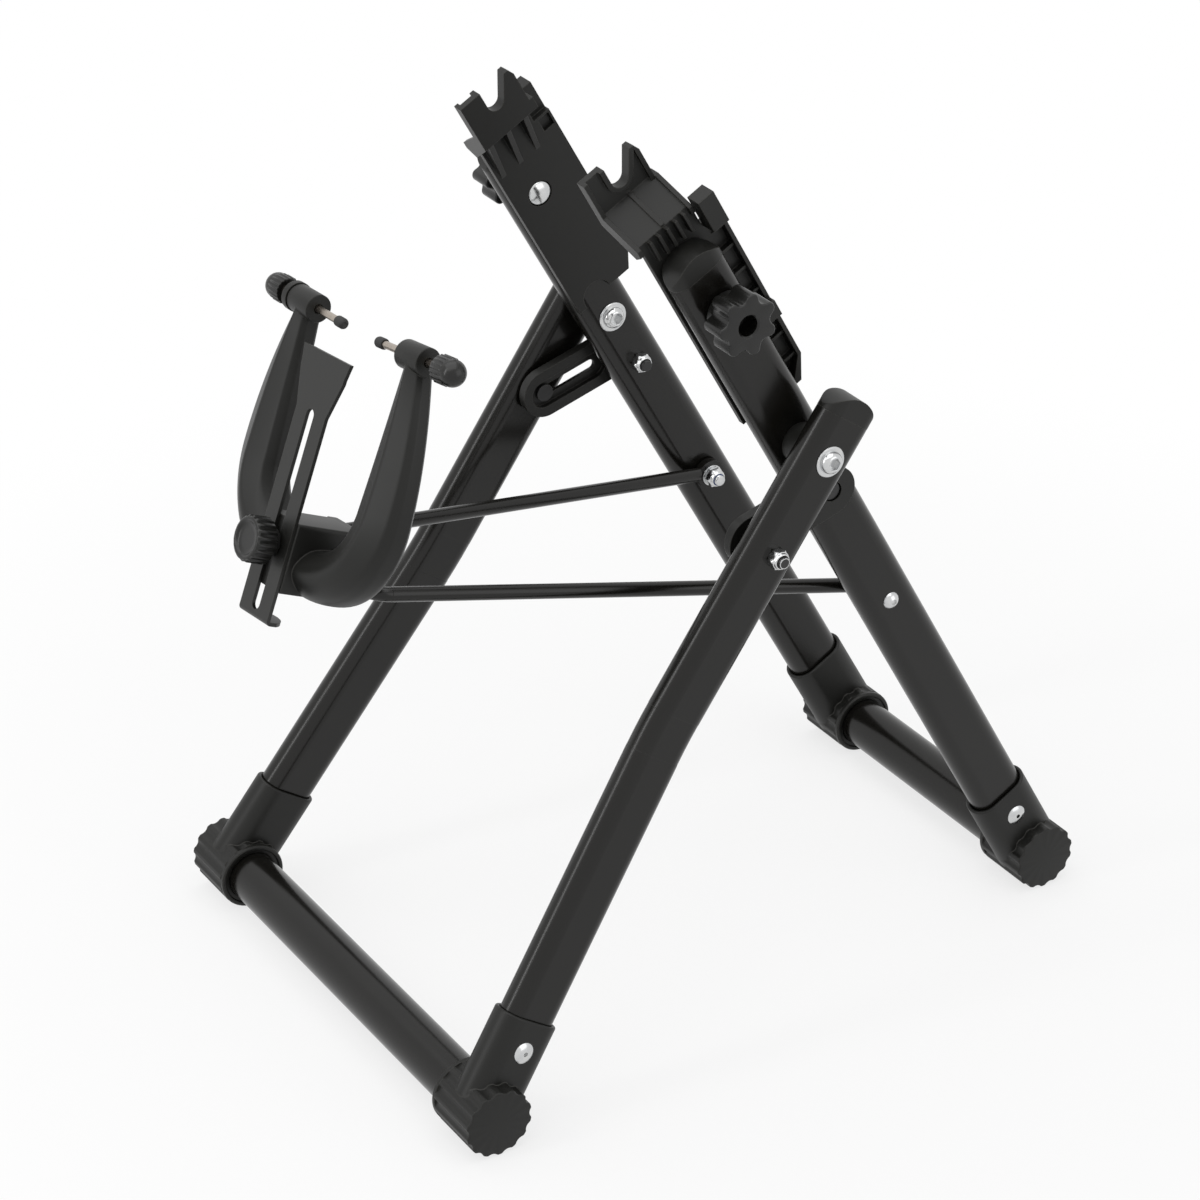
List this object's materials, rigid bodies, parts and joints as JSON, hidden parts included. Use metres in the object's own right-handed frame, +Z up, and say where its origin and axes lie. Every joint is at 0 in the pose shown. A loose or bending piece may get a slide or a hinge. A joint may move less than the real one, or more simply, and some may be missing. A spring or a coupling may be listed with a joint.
{
  "type": "bicycle wheel truing stand",
  "caption": "Folding wheel truing stand: two-legged fork with slotted hub brackets, a folding support frame and a rim caliper on a swinging rod.",
  "frame": {"origin": "on the ground, halfway between the front and the rear foot axis and halfway between the left and the right legs", "axes": "+Z up, -X toward the caliper at the front, +Y to the left side, so the hinge axes run along Y"},
  "size_m": [0.4684, 0.31, 0.4982],
  "materials": {
    "black_paint": "satin powder coat",
    "moulded_plastic": "fine moulded grain",
    "knob_plastic": "fine moulded grain",
    "plated_steel": "bright zinc",
    "feeler_steel": "plain",
    "tip_rubber": "matt"
  },
  "bodies": {
    "fork_frame": {"fork_leg_left": "black_paint", "fork_leg_right": "black_paint", "fork_cap_left": "moulded_plastic", "fork_cap_right": "moulded_plastic", "rear_cross_tube": "black_paint", "rear_socket_left": "moulded_plastic", "rear_socket_right": "moulded_plastic", "rear_rivets": "plated_steel", "pivot_bolts": "plated_steel", "pivot_sleeves": "plated_steel", "pivot_spacers": "moulded_plastic", "link_bolts": "plated_steel", "link_nuts": "plated_steel", "arm_bolts": "plated_steel", "arm_spacers": "plated_steel", "arm_nuts": "plated_steel", "knob_washers": "plated_steel"},
    "support_frame": {"support_leg_left": "black_paint", "support_leg_right": "black_paint", "support_cap_left": "moulded_plastic", "support_cap_right": "moulded_plastic", "front_cross_tube": "black_paint", "front_socket_left": "moulded_plastic", "front_socket_right": "moulded_plastic", "front_rivets": "plated_steel", "slot_bolts": "plated_steel", "slot_nuts": "plated_steel"},
    "link_left": {"link_left": "moulded_plastic"},
    "link_right": {"link_right": "moulded_plastic"},
    "slot_pin_left": {"slot_pin_left": "black_paint"},
    "slot_pin_right": {"slot_pin_right": "black_paint"},
    "caliper_arm": {"arm_rod": "black_paint"},
    "caliper": {"caliper_body": "moulded_plastic", "clamp_block": "moulded_plastic", "clamp_stud": "plated_steel", "feeler_collar": "moulded_plastic"},
    "gauge_plate": {"gauge_plate": "black_paint"},
    "clamp_knob": {"clamp_knob": "knob_plastic"},
    "feeler_left": {"feeler_pin_left": "feeler_steel", "feeler_tip_left": "tip_rubber"},
    "feeler_right": {"feeler_pin_right": "feeler_steel", "feeler_tip_right": "tip_rubber"},
    "feeler_knob_left": {"feeler_knob_left": "knob_plastic"},
    "feeler_knob_right": {"feeler_knob_right": "knob_plastic"},
    "bracket_left": {"hub_bracket_left": "moulded_plastic", "carriage_bolt_left": "plated_steel"},
    "bracket_right": {"hub_bracket_right": "moulded_plastic", "carriage_bolt_right": "plated_steel"},
    "star_knob_left": {"star_knob_left": "knob_plastic"},
    "star_knob_right": {"star_knob_right": "knob_plastic"}
  },
  "joints": [
    {"name": "fold", "type": "hinge", "parent": "fork_frame", "child": "support_frame", "pos_m": [0.02154, 0, 0.33011], "axis": [0, -1, 0], "range_deg": [0, 58]},
    {"name": "link_left_turn", "type": "hinge", "parent": "fork_frame", "child": "link_left", "pos_m": [0.0392, 0, 0.29875], "axis": [0, -1, 0], "range_deg": [-0.5, 85.92]},
    {"name": "slot_left_slide", "type": "slide", "parent": "link_left", "child": "slot_pin_left", "axis": [0.9604, 0, 0.2788], "range_m": [-0.0002, 0.03147]},
    {"name": "link_right_turn", "type": "hinge", "parent": "fork_frame", "child": "link_right", "pos_m": [0.0392, 0, 0.29875], "axis": [0, -1, 0], "range_deg": [-0.5, 85.92]},
    {"name": "slot_right_slide", "type": "slide", "parent": "link_right", "child": "slot_pin_right", "axis": [0.9604, 0, 0.2788], "range_m": [-0.0002, 0.03147]},
    {"name": "arm_swing", "type": "hinge", "parent": "fork_frame", "child": "caliper_arm", "pos_m": [0.08485, 0, 0.21772], "axis": [0, 1, 0], "range_deg": [-40, 12]},
    {"name": "caliper_tilt", "type": "hinge", "parent": "caliper_arm", "child": "caliper", "pos_m": [-0.19864, 0, 0.27642], "axis": [0, 1, 0], "range_deg": [-30, 20]},
    {"name": "gauge_slide", "type": "slide", "parent": "caliper", "child": "gauge_plate", "axis": [0.4045, 0.1045, 0.9085], "range_m": [-0.06, 0.012]},
    {"name": "clamp_knob_turn", "type": "hinge", "parent": "caliper", "child": "clamp_knob", "pos_m": [-0.19546, 0, 0.28355], "axis": [0.9135, 0, -0.4067], "continuous": true},
    {"name": "feeler_left_slide", "type": "slide", "parent": "caliper", "child": "feeler_left", "axis": [-0.027, 0.9978, -0.0605], "range_m": [-0.0035, 0.016]},
    {"name": "feeler_knob_left_turn", "type": "hinge", "parent": "feeler_left", "child": "feeler_knob_left", "pos_m": [-0.1735, 0.0642, 0.39263], "axis": [-0.027, 0.9978, -0.0605], "range_deg": [-1810.3, 8238.9]},
    {"name": "feeler_right_slide", "type": "slide", "parent": "caliper", "child": "feeler_right", "axis": [0.058, -0.9898, 0.1303], "range_m": [-0.008, 0.016]},
    {"name": "feeler_knob_right_turn", "type": "hinge", "parent": "feeler_right", "child": "feeler_knob_right", "pos_m": [-0.16903, -0.04022, 0.40266], "axis": [0.058, -0.9898, 0.1303], "range_deg": [-4124.6, 8238.9]},
    {"name": "bracket_left_slide", "type": "slide", "parent": "fork_frame", "child": "bracket_left", "axis": [0, -1, 0], "range_m": [0, 0.006]},
    {"name": "star_knob_left_turn", "type": "hinge", "parent": "fork_frame", "child": "star_knob_left", "pos_m": [-0.02656, 0.098, 0.4155], "axis": [0, 1, 0], "continuous": true},
    {"name": "bracket_right_slide", "type": "slide", "parent": "fork_frame", "child": "bracket_right", "axis": [0, 1, 0], "range_m": [0, 0.006]},
    {"name": "star_knob_right_turn", "type": "hinge", "parent": "fork_frame", "child": "star_knob_right", "pos_m": [-0.02656, -0.098, 0.4155], "axis": [0, -1, 0], "continuous": true}
  ],
  "couplings": [
    {"joint": "link_left_turn", "follows": "fold", "ratio": 1.4728},
    {"joint": "slot_left_slide", "follows": "fold", "m_per_rad": 0.03089},
    {"joint": "link_right_turn", "follows": "fold", "ratio": 1.4728},
    {"joint": "slot_right_slide", "follows": "fold", "m_per_rad": 0.03089},
    {"joint": "feeler_knob_left_turn", "follows": "feeler_left_slide", "rad_per_m": 8976},
    {"joint": "feeler_knob_right_turn", "follows": "feeler_right_slide", "rad_per_m": 8976}
  ]
}
